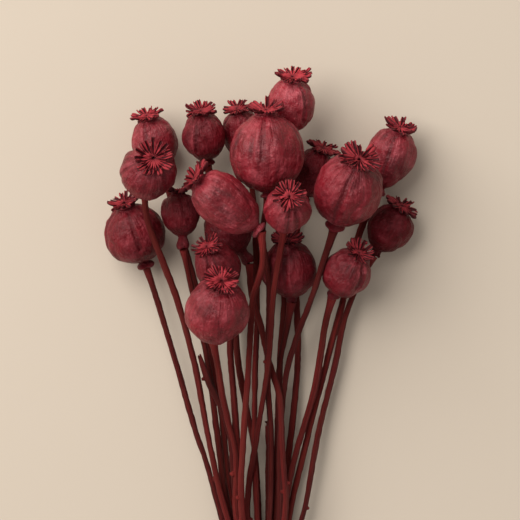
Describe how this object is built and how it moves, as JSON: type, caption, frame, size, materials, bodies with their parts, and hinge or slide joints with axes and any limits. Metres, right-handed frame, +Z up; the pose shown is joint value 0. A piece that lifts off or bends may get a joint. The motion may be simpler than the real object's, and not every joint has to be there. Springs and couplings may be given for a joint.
{
  "type": "bunch of dried poppy seed heads",
  "caption": "Tied bunch of dyed, dried poppy seed heads on long stiff stems, with star-shaped crowns, lying flat on a surface as a decoration.",
  "frame": {"origin": "centre of the lying bunch's footprint, on the surface that it lies on", "axes": "+Z up off the surface, +Y along the bunch from the cut stem ends to the seed heads, +X to the right when seen from above"},
  "size_m": [0.1912, 0.442, 0.0868],
  "materials": {
    "dyed_pod": "matt, papery skin dyed dusty burgundy, with faint ribs and fine wrinkles",
    "dyed_stem": "matt, streaked lengthwise, dyed dark red-brown",
    "twine": "plain natural jute twine"
  },
  "bodies": {
    "root": {"seed_head_01": "dyed_pod", "seed_head_02": "dyed_pod", "seed_head_03": "dyed_pod", "seed_head_04": "dyed_pod", "seed_head_05": "dyed_pod", "seed_head_06": "dyed_pod", "seed_head_07": "dyed_pod", "seed_head_08": "dyed_pod", "seed_head_09": "dyed_pod", "seed_head_10": "dyed_pod", "seed_head_11": "dyed_pod", "seed_head_12": "dyed_pod", "seed_head_13": "dyed_pod", "seed_head_14": "dyed_pod", "seed_head_15": "dyed_pod", "seed_head_16": "dyed_pod", "seed_head_17": "dyed_pod", "seed_head_18": "dyed_pod", "seed_head_19": "dyed_pod", "stem_01": "dyed_stem", "stem_02": "dyed_stem", "stem_03": "dyed_stem", "stem_04": "dyed_stem", "stem_05": "dyed_stem", "stem_06": "dyed_stem", "stem_07": "dyed_stem", "stem_08": "dyed_stem", "stem_09": "dyed_stem", "stem_10": "dyed_stem", "stem_11": "dyed_stem", "stem_12": "dyed_stem", "stem_13": "dyed_stem", "stem_14": "dyed_stem", "stem_15": "dyed_stem", "stem_16": "dyed_stem", "stem_17": "dyed_stem", "stem_18": "dyed_stem", "stem_19": "dyed_stem", "cut_stem_1": "dyed_stem", "cut_stem_2": "dyed_stem", "tie": "twine"}
  },
  "joints": []
}
